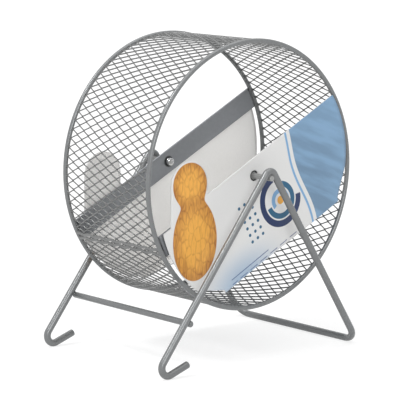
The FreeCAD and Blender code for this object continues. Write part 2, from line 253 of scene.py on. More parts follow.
class Signal:
    """A shader socket. Arithmetic on values adds Math nodes beside it."""

    def __init__(self, tree, socket=None):
        self.tree = tree
        self.socket = socket

    def node(self, kind, settings=None, inputs=None, output=0):
        """Add a node: its settings first, then the values or links of its sockets."""
        node = self.tree.nodes.new(kind)
        for key, value in (settings or {}).items():
            setattr(node, key, value)
        for key, value in (inputs or {}).items():
            if isinstance(value, Signal):
                self.tree.links.new(value.socket, node.inputs[key])
            else:
                node.inputs[key].default_value = value
        return Signal(self.tree, node.outputs[output] if node.outputs else None)

    def math(self, operation, *values):
        """A Math node on values."""
        return self.node("ShaderNodeMath", {"operation": operation}, dict(enumerate(values)))

    def __add__(self, other):
        return self.math("ADD", self, other)

    def __sub__(self, other):
        return self.math("SUBTRACT", self, other)

    def __rsub__(self, other):
        return self.math("SUBTRACT", other, self)

    def __mul__(self, other):
        return self.math("MULTIPLY", self, other)

    def __truediv__(self, other):
        return self.math("DIVIDE", self, other)

    def __pow__(self, other):
        return self.math("POWER", self, other)

    def __abs__(self):
        return self.math("ABSOLUTE", self)

    def limit(self):
        """The value held between 0 and 1."""
        return self.node("ShaderNodeClamp", inputs={0: self})

    def rise(self, start, end):
        """0 at start, 1 at end, smooth between them."""
        return self.node(
            "ShaderNodeMapRange", {"interpolation_type": "SMOOTHSTEP"}, {0: self, 1: start, 2: end},
        )

    def wave(self):
        """Sine of the value."""
        return self.math("SINE", self)

    def fold(self, width):
        """The value folded to and fro between 0 and a width."""
        return self.math("PINGPONG", self, width)

    def power_of_e(self):
        """e to the power of the value."""
        return self.math("EXPONENT", self)

    def log(self):
        """Natural logarithm of the value."""
        return self.math("LOGARITHM", self, math.e)


def far(first, second):
    """Distance from the origin of two values taken as coordinates."""
    return (first * first + second * second) ** 0.5


def blend(base, top, mask):
    """Colour of base with top laid over it by a mask."""
    return mask.node("ShaderNodeMix", {"data_type": "RGBA"}, {0: mask, 6: base, 7: top}, 2)


def rgba(values):
    """A colour with its alpha."""
    return (*values, 1.0)


def shaded(values, factor):
    """A colour made lighter or darker."""
    return rgba([min(1.0, value * factor) for value in values])


class Finish:
    """A new material with one surface shader."""

    def __init__(self, name):
        self.material = bpy.data.materials.new(name)
        self.material.use_nodes = True
        self.tree = self.material.node_tree
        self.tree.nodes.clear()
        self.start = Signal(self.tree)
        self.spot = self.start.node("ShaderNodeTexCoord", output="Object")

    def about_axle(self, turn=0.0):
        """Millimetres from the axle, in axes turned about it from X towards Z."""
        inputs = {"Vector": self.spot, "Location": AXLE.tolist(), "Rotation": (0.0, -turn, 0.0)}
        inputs["Scale"] = (MM, MM, MM)
        return self.start.node("ShaderNodeMapping", {"vector_type": "TEXTURE"}, inputs)

    def from_axle(self):
        """Millimetres from the axle, across it."""
        spot = self.about_axle()
        return far(self.part(spot, "X"), self.part(spot, "Z"))

    def part(self, vector, axis):
        """One coordinate of a vector."""
        return self.start.node("ShaderNodeSeparateXYZ", inputs={0: vector}, output=axis)

    def drawn(self, vector, factors):
        """A vector with each coordinate times its own factor."""
        return self.start.node("ShaderNodeVectorMath", {"operation": "MULTIPLY"}, {0: vector, 1: factors})

    def noise(self, scale, detail=2.0, stretch=(1, 1, 1), spot=None):
        """Soft noise with about scale bumps per unit, drawn out along an axis where stretch is small."""
        inputs = {"Vector": self.drawn(spot or self.spot, stretch), "Scale": scale, "Detail": detail}
        return self.start.node("ShaderNodeTexNoise", inputs=inputs)

    def bump(self, height, depth, strength=1.0):
        """Surface relief of a height from 0 to 1, depth metres deep."""
        inputs = {"Strength": strength, "Distance": depth, "Height": height}
        return self.start.node("ShaderNodeBump", inputs=inputs)

    def surface(self, **inputs):
        """Principled surface from sockets named with underscores."""
        sockets = {key.replace("_", " "): value for key, value in inputs.items()}
        shader = self.start.node("ShaderNodeBsdfPrincipled", inputs=sockets)
        self.start.node("ShaderNodeOutputMaterial", inputs={"Surface": shader})
        return self.material


def enamel(name, grey, roughness, lustre=0.25, painted_shades=()):
    """Sprayed grey enamel: faint mottling, orange-peel relief and uneven gloss.

    Each painted shade darkens the paint by its strength from one distance from the axle to another, in
    millimetres.
    It is shadow painted into the colour.
    """
    mottle_scale, cloud_scale, peel_scale = 420.0, 60.0, 1500.0
    dark_tone, light_tone, shade_tone = 0.95, 1.05, 0.08
    uneven_gloss = 0.06
    peel_depth = 0.004 * MM
    finish = Finish(name)
    cloud = finish.noise(cloud_scale)
    tone = (finish.noise(mottle_scale, 3.0) * 0.5 + cloud * 0.5).rise(0.3, 0.7)
    base = blend(shaded(grey, dark_tone), shaded(grey, light_tone), tone)
    # Painted shade: the paint blends towards near black between two distances from the axle.
    for unshaded, dark, amount in painted_shades:
        base = blend(base, shaded(grey, shade_tone), finish.from_axle().rise(unshaded, dark) * amount)
    return finish.surface(
        Base_Color=base,
        Metallic=lustre,
        Roughness=(cloud - 0.5) * uneven_gloss + roughness,
        Normal=finish.bump(finish.noise(peel_scale, 1.0), peel_depth, 0.5),
    )


def bright_steel(name, steel):
    """Turned bright steel with fine rings and a little smear."""
    smear_scale, ring_scale = 700.0, 2600.0
    along_axle, round_axle = (1, 0.15, 1), (0.2, 1, 0.2)
    ring_depth = 0.01 * MM
    finish = Finish(name)
    smear = finish.noise(smear_scale, 2.0, along_axle)
    rings = finish.noise(ring_scale, 1.0, round_axle)
    return finish.surface(
        Base_Color=blend(shaded(steel, 0.86), shaded(steel, 1.04), smear.rise(0.35, 0.65)),
        Metallic=1.0,
        Roughness=smear * 0.12 + 0.1,
        Normal=finish.bump(rings, ring_depth, 0.4),
    )


def raw_board(name, board):
    """Uncoated card: warm grey-white with fibres and flecks."""
    fibre_scale, fleck_scale = 1400.0, 2600.0
    fibre_depth = 0.03 * MM
    finish = Finish(name)
    fibre = finish.noise(fibre_scale, 4.0, (1, 1, 0.5))
    fleck = finish.noise(fleck_scale, 1.0).rise(0.66, 0.74)
    base = blend(shaded(board, 0.98), shaded(board, 1.01), fibre.rise(0.3, 0.7))
    return finish.surface(
        Base_Color=blend(base, shaded(board, 0.82), fleck * 0.2),
        Roughness=fibre * 0.1 + 0.72,
        Normal=finish.bump(fibre, fibre_depth, 0.5),
    )


def within(value, bound, soft=INK_EDGE):
    """Mask of what lies below a bound."""
    return ((bound - value) / soft + 0.5).limit()


def spell(value, low, high):
    """Mask of the part of a value between two bounds."""
    return ((value - low) / BAND_EDGE + 0.5).limit() * within(value, high, BAND_EDGE)


def with_water(sheet, finish, along, across, inks):
    """A pale pool at the lower left, and at the right a streaked band with a wavy shore and a line along it.

    The shore lies at 32 mm + 0.06 * across + 1.5 mm * sin(0.11 * across).
    """
    pool_along, pool_across, pool_length, pool_height = -33.0, -51.0, 40.0, 26.0
    shore_along, shore_lean, wave_rate, wave_height = 32.0, 0.06, 0.11, 1.5
    lighter_along, lighter_length, lighter_height = 30.0, 45.0, 60.0
    streak_scale, streak_turn, streak_stretch = 0.16, -0.35, (0.16, 1.0, 1.0)
    line_start, line_end = -4.0, -2.5
    pool = far((along - pool_along) / pool_length, (across - pool_across) / pool_height)
    sheet = blend(sheet, shaded(inks.water, 1.25), (1.0 - pool.rise(0.1, 1.0)) * 0.75)
    shore = along - shore_along - across * shore_lean - (across * wave_rate).wave() * wave_height
    streak = finish.noise(streak_scale, 3.0, streak_stretch, finish.about_axle(streak_turn)).rise(0.36, 0.66)
    # The band grows lighter towards the top right.
    lighter_up_right = ((along - lighter_along) / lighter_length + across / lighter_height).limit()
    water = blend(shaded(inks.water, 0.86), shaded(inks.water, 1.22), streak)
    water = blend(water, shaded(inks.water, 1.5), lighter_up_right * 0.4)
    sheet = blend(sheet, water, (shore / BAND_EDGE).limit())
    return blend(sheet, rgba(inks.sky), spell(shore, line_start, line_end))


def with_rings(sheet, along, across, inks, panel):
    """Three rings round a dot, each broken where it faces its own direction."""
    middle_along, middle_across, dot_radius = 10.5, -22.8, 2.4
    break_starts, break_edge = 0.62, 0.03
    dx = along - middle_along
    dy = across - middle_across
    away = far(dx, dy)
    for radius, half_width, ink, east, north in (
        (13.6, 1.9, inks.navy, 0.8, 0.6),
        (9.2, 1.6, inks.teal, -0.6, 0.8),
        (5.4, 1.3, inks.sky, -0.3, -0.954),
    ):
        facing = (dx * east + dy * north) / away
        broken = ((break_starts - facing) / break_edge).limit()
        sheet = blend(sheet, rgba(ink), within(abs(away - radius), half_width) * broken * panel)
    return blend(sheet, rgba(inks.amber), within(away, dot_radius) * panel)


def with_dots(sheet, along, across, inks, panel):
    """Rows of dots: the distance to the nearest point of a square grid."""
    pitch, dot_radius = 4.4, 0.95
    left, right, low, high = -20.2, -7.0, -34.8, -8.4
    dot_x = (along - left).fold(pitch / 2) - pitch / 2
    dot_y = (across - high + pitch).fold(pitch / 2) - pitch / 2
    rows = spell(along, left, right) * spell(across, low, high) * panel
    return blend(sheet, rgba(inks.teal), within(far(dot_x, dot_y), dot_radius) * rows)


def with_nut(sheet, finish, spot, inks):
    """A two-lobed nut: the smooth union of two ellipses, log(e^(-7 a) + e^(-7 b)) / -7, darker at its edge.

    Its net is the borders of uneven cells drawn out along the nut.
    """
    lobes = ((-46.9, -1.2, 12.0, 12.2), (-43.0, -32.0, 15.6, 22.5))
    sharp, nut_edge, net_width = -7.0, 0.014, 0.14
    cell_rate, grain_scale, grain_stretch = (0.3, 0.0, 0.15), 1.1, (1.0, 1.0, 0.22)
    x = finish.part(spot, "X")
    z = finish.part(spot, "Z")
    upper, lower = [
        (far((x - middle_x) / half_width, (z - middle_z) / half_height) * sharp).power_of_e()
        for middle_x, middle_z, half_width, half_height in lobes
    ]
    depth = (upper + lower).log() / sharp
    body = within(depth, 1.0, nut_edge)
    cells = {"Vector": finish.drawn(spot, cell_rate), "Scale": 1.0}
    border = finish.start.node("ShaderNodeTexVoronoi", {"feature": "DISTANCE_TO_EDGE"}, cells)
    net = (1.0 - border.rise(0.0, net_width)) * body
    grain = finish.noise(grain_scale, 3.0, grain_stretch, spot)
    shade = depth.rise(0.35, 1.15) * 0.7 + net * 0.3 + (grain - 0.5) * 1.1
    husk = blend(shaded(inks.amber, 1.12), rgba(inks.brown), shade.limit())
    return blend(sheet, husk, body)


def foot_lines(along, across):
    """Mask of a full line and, below it, a dashed one, where sin(0.75 * along) is above about -0.75."""
    full_low, full_high, full_left, full_right = -43.75, -43.25, -40.5, -9.6
    dashed_low, dashed_high, dashed_left, dashed_right = -46.55, -46.05, -40.9, 17.0
    dash_rate, dash_edge, dash_share = 0.75, 4.0, 3.0
    dashes = ((along * dash_rate).wave() * dash_edge + dash_share).limit()
    full = spell(across, full_low, full_high) * spell(along, full_left, full_right)
    dashed = spell(across, dashed_low, dashed_high) * spell(along, dashed_left, dashed_right)
    return full + dashed * dashes


def printed_card(name, inks, tilt):
    """Coated card with a plain print: a nut, a set of broken rings, rows of dots and a wide wavy band.

    The print is worked out in millimetres from the axle, along and across the tilt of the bars. Rings, dots
    and lines are kept to the panels, off the web between them.
    """
    web_ends, panel_starts = 37.2, 37.6
    fibre_scale = 1300.0
    print_depth = 0.08 * MM
    finish = Finish(name)
    level = finish.about_axle()
    turned = finish.about_axle(tilt)
    along = finish.part(turned, "X")
    across = finish.part(turned, "Z")
    side = finish.part(level, "Y")
    panel = (side * side).rise(web_ends ** 2, panel_starts ** 2)
    fibre = finish.noise(fibre_scale, 3.0)
    sheet = blend(shaded(inks.white, 0.98), shaded(inks.white, 1.01), fibre)
    sheet = with_water(sheet, finish, along, across, inks)
    sheet = with_rings(sheet, along, across, inks, panel)
    sheet = with_dots(sheet, along, across, inks, panel)
    sheet = with_nut(sheet, finish, level, inks)
    pressed = foot_lines(along, across) * panel
    sheet = blend(sheet, shaded(inks.navy, 2.0), pressed.limit() * 0.85)
    return finish.surface(
        Base_Color=sheet,
        Roughness=fibre * 0.08 + 0.4,
        Normal=finish.bump(fibre * 0.15 - pressed * 0.8, print_depth, 0.6),
    )


# Shapes

def patch(points, wrap_rows=False, wrap_columns=False):
    """Points and quads of grids (..., rows, columns, 3); a wrapped side joins its last line to its first."""
    rows, columns = points.shape[-3:-1]
    spots = points.reshape(-1, 3)
    index = np.arange(len(spots)).reshape(-1, rows, columns)
    if wrap_rows:
        index = np.concatenate([index, index[:, :1]], axis=1)
    if wrap_columns:
        index = np.concatenate([index, index[:, :, :1]], axis=2)
    corners = (index[:, :-1, :-1], index[:, 1:, :-1], index[:, 1:, 1:], index[:, :-1, 1:])
    return spots, np.stack(corners, axis=-1).reshape(-1, 4)


def joined(*patches):
    """Several patches as one set of points and quads."""
    counts = np.cumsum([0] + [len(points) for points, quads in patches])
    points = np.concatenate([points for points, quads in patches])
    quads = np.concatenate([quads + count for (_, quads), count in zip(patches, counts)])
    return points, quads


def unit(vectors):
    """Vectors drawn to length 1."""
    return vectors / np.linalg.norm(vectors, axis=-1, keepdims=True)


def carried(path, side, up, profile):
    """A profile carried along a path: path + across * side + rise * up, for its (across, rise) points."""
    return path[..., None, :] + profile[..., :1] * side[..., None, :] + profile[..., 1:] * up[..., None, :]


def circle(count):
    """Points of a unit circle."""
    turn = np.linspace(0, 2 * np.pi, count, endpoint=False)
    return np.stack([np.cos(turn), np.sin(turn)], axis=-1)


def round_end(radius, rounding, steps=6):
    """Distances from a rod's end and radii there: its middle, then a quarter circle up to its side."""
    turn = np.linspace(0, np.pi / 2, steps)
    reach = np.concatenate([[0.0], rounding * (1 - np.cos(turn))])
    return reach, np.concatenate([[0.0], radius - rounding + rounding * np.sin(turn)])


def straight(first, last, count):
    """Points of a line and its direction at each of them."""
    points = np.linspace(first, last, count)
    return np.stack([points, np.broadcast_to(unit(last - first), points.shape)], axis=1)


def bend(centre, first, second, start, end, count):
    """Points and directions of the arc centre + cos a * first + sin a * second, a from start to end."""
    turn = np.linspace(start, end, count)[:, None]
    points = centre + np.cos(turn) * first + np.sin(turn) * second
    ahead = (np.cos(turn) * second - np.sin(turn) * first) * np.sign(end - start)
    return np.stack([points, unit(ahead)], axis=1)


def outward_at(turn):
    """Directions away from the axle at angles from +X towards +Z: (cos a, 0, sin a)."""
    return np.stack([np.cos(turn), np.zeros_like(turn), np.sin(turn)], axis=-1)


def turned_about_axle(profile, steps=56):
    """A (radius, y) profile turned about the axle: (r cos a, y, r sin a)."""
    turn = np.linspace(0, 2 * np.pi, steps, endpoint=False)
    return AXLE + profile[:, None, :1] * outward_at(turn) + profile[:, None, 1:] * LATERAL


def eased(profile, rounding, steps=5):
    """A polyline with each inner corner replaced by the curve (1-s)^2 a + 2s(1-s) corner + s^2 b.

    a and b lie on the two edges, at the rounding from the corner or nearly half way along a short edge.
    """
    most = 0.45
    profile = np.asarray(profile, float)
    corner = profile[1:-1]

    def on_edge(edge):
        """Where the curve meets an edge that leaves its corner."""
        size = np.linalg.norm(edge, axis=1, keepdims=True)
        return corner + edge / size * np.minimum(rounding, size * most)

    first = on_edge(profile[:-2] - corner)
    last = on_edge(profile[2:] - corner)
    s = np.linspace(0, 1, steps)[None, :, None]
    curve = (1 - s) ** 2 * first[:, None] + 2 * s * (1 - s) * corner[:, None] + s ** 2 * last[:, None]
    return np.concatenate([profile[:1], curve.reshape(-1, 2), profile[-1:]])


def nuggets(centres, *axes, rows=7, columns=12):
    """Flattened balls at several centres: centre + cos b (cos a * first + sin a * second) + sin b * third."""
    first, second, third = [np.broadcast_to(axis, centres.shape)[:, None, None] for axis in axes]
    tilt = np.linspace(-np.pi / 2, np.pi / 2, rows)[:, None, None]
    around = circle(columns)
    flat = around[:, :1] * first + around[:, 1:] * second
    points = centres[:, None, None] + np.cos(tilt) * flat + np.sin(tilt) * third
    return patch(points, wrap_columns=True)


def at_end(points, end):
    """Points of a piece at the front, or the same at the rear."""
    return points if end == "front" else points * (1, -1, 1)


def settings():
    """The sidebar's settings."""
    return bpy.context.scene.exercise_wheel


def tilted(along, up, y):
    """Points along and across the tilt of the bars, at y, from the axle."""
    turn = settings().drum.bar_tilt
    x = along * np.cos(turn) - up * np.sin(turn)
    z = along * np.sin(turn) + up * np.cos(turn)
    return np.stack(np.broadcast_arrays(x, y, z), axis=-1) + AXLE


def add_piece(name, shape, body, materials, nodes=(), sharp=40.0):
    """Make a mesh object of points and quads, join what touches, face it outwards and hang it on its body."""
    points, quads = shape
    mesh = bpy.data.meshes.new(name)
    mesh.from_pydata(points.tolist(), [], quads.tolist())
    cleaner = bmesh.new()
    cleaner.from_mesh(mesh)
    bmesh.ops.remove_doubles(cleaner, verts=cleaner.verts, dist=1e-7)
    bmesh.ops.recalc_face_normals(cleaner, faces=cleaner.faces)
    cleaner.to_mesh(mesh)
    cleaner.free()
    mesh.shade_smooth()
    mesh.set_sharp_from_angle(angle=math.radians(sharp))
    for material in materials:
        mesh.materials.append(material)
    piece = bpy.data.objects.new(name, mesh)
    bpy.context.scene.collection.objects.link(piece)
    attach(piece, body)
    if nodes:
        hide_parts(*nodes)
    return piece


def frame_y(sizes):
    """Distance of a frame's middle line from the middle of the stand."""
    return half_size("stand_wire", 1) - sizes.wire / 2


def frame_wire(side, sizes):
    """Middle line of one frame of the stand and its direction: hook, left leg, apex, right leg, foot bend."""
    left, right, rise = sizes.left_angle, sizes.right_angle, sizes.hook_rise
    quarter = np.pi / 2
    radius = sizes.wire / 2
    apex = AXLE + LATERAL * side * frame_y(sizes)
    apex_r = STUB_RADIUS + sizes.apex_gap + radius
    left_top = apex + apex_r * outward_at(np.pi - left)
    right_top = apex + apex_r * outward_at(right)
    run = (left_top[2] - radius - sizes.hook_bend * (1 + math.sin(left))) / math.cos(left)
    hook_start = left_top + outward_at(-quarter - left) * run
    hook_centre = hook_start + outward_at(-left) * sizes.hook_bend
    hook_end = hook_centre + sizes.hook_bend * outward_at(rise - quarter)
    tip = hook_end + sizes.hook_end * outward_at(rise)
    right_down = outward_at(right - quarter)
    foot = right_top + right_down * ((right_top[2] - radius) / math.cos(right) - sizes.foot_bend)
    inward = LATERAL * -side * sizes.foot_bend
    hook_arc = (sizes.hook_bend * EAST, sizes.hook_bend * UPWARD, rise - quarter, -np.pi - left)
    return np.concatenate([
        straight(tip, hook_end, 4),
        bend(hook_centre, *hook_arc, 30)[1:],
        straight(hook_start, left_top, 12)[1:],
        bend(apex, apex_r * EAST, apex_r * UPWARD, np.pi - left, right, 26)[1:],
        straight(right_top, foot, 12)[1:],
        bend(foot + inward, -inward, right_down * sizes.foot_bend, 0, quarter, FOOT_STEPS)[1:],
    ])


def stand_shape(sizes):
    """A round section carried along both frames and the floor bar, its sides turning with the wire.

    The section narrows to a point over the rounding of the wire's two ends.
    """
    front = frame_wire(-1, sizes)
    back = frame_wire(1, sizes)[::-1] * np.array([[1], [-1]])[None]
    line = np.concatenate([front, back])
    path, ahead = line[:, 0], line[:, 1]
    radius = sizes.wire / 2
    count = len(front)
    leg = front[-FOOT_STEPS - 2, 1]
    order = np.arange(len(line))[:, None]
    in_bar = (order >= count - FOOT_STEPS) & (order < count + FOOT_STEPS)
    side = np.where(order < count, LATERAL, -LATERAL)
    side = np.where(in_bar, np.cross(unit(np.cross(leg, LATERAL)), ahead), side)
    up = np.cross(ahead, side)
    reach, radii = round_end(radius, sizes.end_round)
    steps = len(reach)
    copies = np.ones(len(line), int)
    copies[[0, -1]] = steps
    path, ahead, side, up = [np.repeat(values, copies, axis=0) for values in (path, ahead, side, up)]
    inset = np.concatenate([reach, np.zeros(len(line) - 2), -reach[::-1]])
    thick = np.concatenate([radii, np.full(len(line) - 2, radius), radii[::-1]])
    path = path + ahead * inset[:, None]
    return patch(carried(path, side, up, thick[:, None, None] * circle(28)), wrap_columns=True)


def rod_shape(node, rounding):
    """A rod along Y that fills a solid's box, turned from a profile with rounded ends."""
    low, high = node_box(node)
    reach, radii = round_end(half_size(node, 0), rounding)
    y = np.concatenate([low[1] + reach, high[1] - reach[::-1]])
    profile = np.stack([np.concatenate([radii, radii[::-1]]), y], axis=-1)
    middle = (low + high) / 2 * (1, 0, 1)
    return patch(turned_about_axle(profile) - AXLE + middle, wrap_columns=True)


def rod_welds(sizes):
    """Nuggets where the rod lies against the two left legs, flattened towards the rod."""
    flatness = 0.6 * MM
    low, high = node_box("cross_rod")
    lean = sizes.left_angle
    inward = outward_at(-lean)
    down = outward_at(-np.pi / 2 - lean)
    touch = (low + high) / 2 - inward * half_size("cross_rod", 0)
    y = frame_y(sizes)
    centres = touch + np.outer([-y, y], LATERAL)
    return nuggets(centres, down * sizes.weld, LATERAL * sizes.weld, inward * flatness)


def apex_welds(sizes):
    """Fillets on both sides of each apex: an ellipse carried round the top of the stub axle.

    It shrinks to its ends with sin(s) ^ 0.35, s from 0 to half a turn, and ripples on its way.
    """
    overrun, fading = 0.35, 0.35
    ripple_height, ripple_rate = 0.06, 26
    half_width, half_height = 0.62 * MM, 0.36 * MM
    lift, apart = 0.22 * MM, 1.1 * MM
    y = frame_y(sizes)
    turn = np.linspace(sizes.right_angle - overrun, np.pi - sizes.left_angle + overrun, 30)
    outward = outward_at(turn)
    fade = np.sin(np.linspace(0, np.pi, len(turn))) ** fading
    ripple = 1 + ripple_height * np.sin(turn * ripple_rate)
    ellipse = circle(10) * (half_width, half_height) * (fade * ripple)[:, None, None]
    path = AXLE + outward * (STUB_RADIUS + lift)
    places = [-y - apart, -y + apart, y - apart, y + apart]
    beads = [carried(path + LATERAL * place_y, LATERAL, outward, ellipse) for place_y in places]
    return patch(np.stack(beads), wrap_columns=True)


def cap_shape(end):
    """Push-on cap: an outline with a lip, a straight skirt and a domed end, turned about the axle."""
    clearance, wall, dome, easing = 0.05 * MM, 0.35 * MM, 0.7 * MM, 0.12 * MM
    lip_width, lip_slope, lip_height = 0.5 * MM, 0.75 * MM, 0.14 * MM
    taper, brow, brow_share, crown_power = 0.06 * MM, 0.1 * MM, 0.97, 0.85
    low, high = node_box("front_axle_cap")
    mouth, shoulder = low[1], high[1] - dome
    radius = half_size("front_axle_cap", 0)
    bore = STUB_RADIUS + clearance
    turn = np.linspace(0, np.pi / 2, 9)[1:]
    crown = np.stack([radius * np.cos(turn) ** crown_power, shoulder + dome * np.sin(turn)], axis=-1)
    crown[-1, 0] = 0.0
    skirt = eased([
        (0.0, shoulder - wall), (bore, shoulder - wall), (bore, mouth), (radius, mouth),
        (radius, mouth + lip_width), (radius - lip_height, mouth + lip_slope),
        (radius - taper, shoulder), (radius * brow_share, shoulder + brow),
    ], easing)
    points = turned_about_axle(np.concatenate([skirt[:-1], crown]))
    return patch(at_end(points, end), wrap_columns=True)


def bush_shape(end):
    """Spool-shaped bush: its collar, neck and flange with eased edges, turned about the axle."""
    clearance, neck_depth, seat, easing = 0.05 * MM, 0.4 * MM, 0.05 * MM, 0.22 * MM
    low, high = node_box("front_bush")
    bar_low, bar_high = node_box("front_crossbar")
    collar = half_size("front_bush", 0)
    neck = collar - neck_depth
    bore = STUB_RADIUS + clearance
    middle = (bore, (low[1] + high[1]) / 2)
    profile = [
        middle, (bore, low[1]), (collar, low[1]), (collar, bar_low[1] - seat), (neck, bar_low[1] - seat),
        (neck, bar_high[1] + seat), (collar, bar_high[1] + seat), (collar, high[1]), (bore, high[1]), middle,
    ]
    return patch(at_end(turned_about_axle(eased(profile, easing)), end), wrap_columns=True)


def rim_shape(node, weld):
    """A ring of round wire: a circle carried round the axle, swelling a little at its butt weld.

    The swelling falls off as e^-(a / 0.018)^2 with the angle a from the weld.
    """
    swelling, weld_angle = 0.015, 0.018
    low, high = node_box(node)
    wire = half_size(node, 1)
    turn = np.linspace(0, 2 * np.pi, 288, endpoint=False)
    outward = outward_at(turn)
    path = (low + high) / 2 + outward * (half_size(node, 0) - wire)
    apart = np.angle(np.exp(1j * (turn - weld)))
    swell = 1 - swelling + swelling * np.exp(-(apart / weld_angle) ** 2)
    section = circle(20) * (wire * swell)[:, None, None]
    return patch(carried(path, LATERAL, outward, section), wrap_rows=True, wrap_columns=True)


def bar_shape(end, sizes):
    """Flat bar with a hole: lines from the hole to the outline, over one face, round the edge and back."""
    lap, chamfer, chamfer_width = 0.35 * MM, 0.12 * MM, 0.25 * MM
    tiny = 1e-9
    low, high = node_box("front_crossbar")
    hole = half_size("front_bush", 0) - lap
    half_width = sizes.bar_width / 2
    tilt = sizes.bar_tilt
    half_length = (half_size("front_crossbar", 0) - half_width * math.sin(tilt)) / math.cos(tilt)
    corner = math.atan2(half_width, half_length)
    sweep = [np.linspace(-corner, corner, 9)[:-1], np.linspace(corner, np.pi - corner, 57)[:-1]]
    sweep = np.concatenate(sweep)
    sweep = np.concatenate([sweep, sweep + np.pi])
    ray = np.stack([np.cos(sweep), np.sin(sweep)], axis=-1)
    turn = np.linspace(0, np.pi / 2, 5)
    inset = np.concatenate([[chamfer + sizes.bar_round], sizes.bar_round * (1 - np.sin(turn))])
    sunk = np.concatenate([[0.0], sizes.bar_round * (1 - np.cos(turn))])
    limits = np.stack([half_length - inset, half_width - inset], axis=-1)
    reach = (limits[:, None] / np.maximum(np.abs(ray), tiny)).min(axis=-1)
    outline = reach[..., None] * ray
    rim = np.stack([hole * ray, (hole + chamfer_width) * ray])
    flat = np.concatenate([rim, outline, outline[::-1], rim[::-1]])
    face_y = low[1] + np.concatenate([[chamfer, 0.0], sunk])
    y = np.concatenate([face_y, low[1] + high[1] - face_y[::-1]])
    points = tilted(flat[..., 0], flat[..., 1], y[:, None])
    return patch(at_end(points, end), wrap_rows=True, wrap_columns=True)


def bar_welds(sizes):
    """Nuggets between the ends of each flat bar and the inside of its rim."""
    rim_y = (rim_high[1] + rim_low[1]) / 2
    inside = half_size("front_rim", 0) - 2 * half_size("front_rim", 1)
    up = sizes.bar_width * sizes.weld_spread
    along = math.sqrt(inside ** 2 - up ** 2)
    spots = np.array([(a * along, u * up, y * rim_y) for a in (-1, 1) for u in (-1, 1) for y in (-1, 1)])
    centres = tilted(*spots.T)
    outward = unit((centres - AXLE) * (1, 0, 1))
    round_the_rim = np.cross(outward, LATERAL)
    axes = (outward * sizes.weld_depth, round_the_rim * sizes.weld_length, LATERAL * sizes.weld_height)
    return nuggets(centres, *axes)


def strands(sizes, first, count, radius, width):
    """Zigzag strands of stretched sheet, side by side round the drum.

    A strand swings between two lines of bonds as y grows, at radius * (cos a, sin a), and its rounded section
    leans a little. Strands alternate, so that each meets its two neighbours in turn.
    """
    end_margin = 0.1 * MM
    flat = 0.3
    step = np.pi / sizes.cells
    half_cell = sizes.cell_along / 2
    half_length = -float(rim_low[1] + rim_high[1]) / 2 - sizes.rim_grip
    rows = int(half_length / half_cell) + 1
    bonds = np.arange(-rows, rows + 1) * half_cell
    y = np.concatenate([bonds - sizes.bond, bonds + sizes.bond, bonds + half_cell / 2])
    y = np.sort(np.concatenate([y[np.abs(y) < half_length - end_margin], [-half_length, half_length]]))
    off = np.abs((y / sizes.cell_along + 0.5) % 1 - 0.5) * sizes.cell_along
    swing = np.clip((off - sizes.bond) / (half_cell - 2 * sizes.bond), 0, 1)
    beside = width / 2 / (radius * step)
    swing = beside + swing * (1 - 2 * beside)
    number = np.arange(count)[:, None]
    swing = np.where(number % 2 == 0, 1 - swing, swing)
    outward = outward_at(first + (number + swing) * step)
    path = AXLE + radius * outward + y[:, None] * LATERAL
    ahead = unit(np.gradient(path, axis=1))
    side = unit(np.cross(outward, ahead))
    lean_side = math.cos(sizes.strand_lean) * side + math.sin(sizes.strand_lean) * outward
    lean_up = math.cos(sizes.strand_lean) * outward - math.sin(sizes.strand_lean) * side
    quarter = np.array([(1, flat), (flat, 1)])
    half = np.concatenate([quarter, quarter[::-1] * (-1, 1)])
    octagon = np.concatenate([half, -half]) * (width / 2, sizes.strand_depth / 2)
    points = carried(path, lean_side, lean_up, octagon)
    ends = [np.repeat(path[:, row, None, None], len(octagon), 2) for row in (0, -1)]
    return patch(np.concatenate([ends[0], points, ends[1]], axis=1), wrap_columns=True)


def mesh_shape(sizes):
    """The whole rolled sheet of strands, and the short lap over its seam."""
    sink = 0.08 * MM
    outer = float(node_box("running_mesh")[1][2] - AXLE[2])
    radius = outer - sizes.strand_depth / 2 - sink
    step = np.pi / sizes.cells
    sheet = strands(sizes, sizes.seam, 2 * sizes.cells, radius, sizes.strand_width)
    lap = strands(sizes, sizes.seam + step, 2, outer + sizes.lap_gap, sizes.lap_width)
    return joined(sheet, lap)


def tab_middle(card, rear):
    """Middle of the tab's round top, along and across the tilt: the rear panel's stands lower."""
    turn = settings().drum.bar_tilt
    z = card.tab_z - card.rear_slip * (rear > 0.5)
    along = card.tab_x * math.cos(turn) + z * math.sin(turn)
    return along, z * math.cos(turn) - card.tab_x * math.sin(turn)


def foot(card, rear):
    """Depth where a panel gives way to the fold along its foot."""
    return np.where(rear > 0.5, card.rear_drop, card.drop) - 2 * card.fold


def panel_heights(card, top, ledge, rear):
    """Heights of a panel's rows, from its tab's top down to the fold.

    Rows close up at the tab's round top and are even round the hole.
    """
    tab_top = tab_middle(card, rear)[1] + card.tab_radius
    swing = np.linspace(0, np.pi / 2, 14)
    round_top = tab_top - (tab_top - top) * (1 - np.cos(swing)) ** 0.9
    stops = [(top, ledge, 5)] if top > ledge else []
    stops += [(ledge, card.hub_block, 4), (card.hub_block, -card.hub_block, HUB_STEPS)]
    stops += [(-card.hub_block, -foot(card, rear), 24)]
    return np.concatenate([round_top] + [np.linspace(*stop)[1:] for stop in stops])


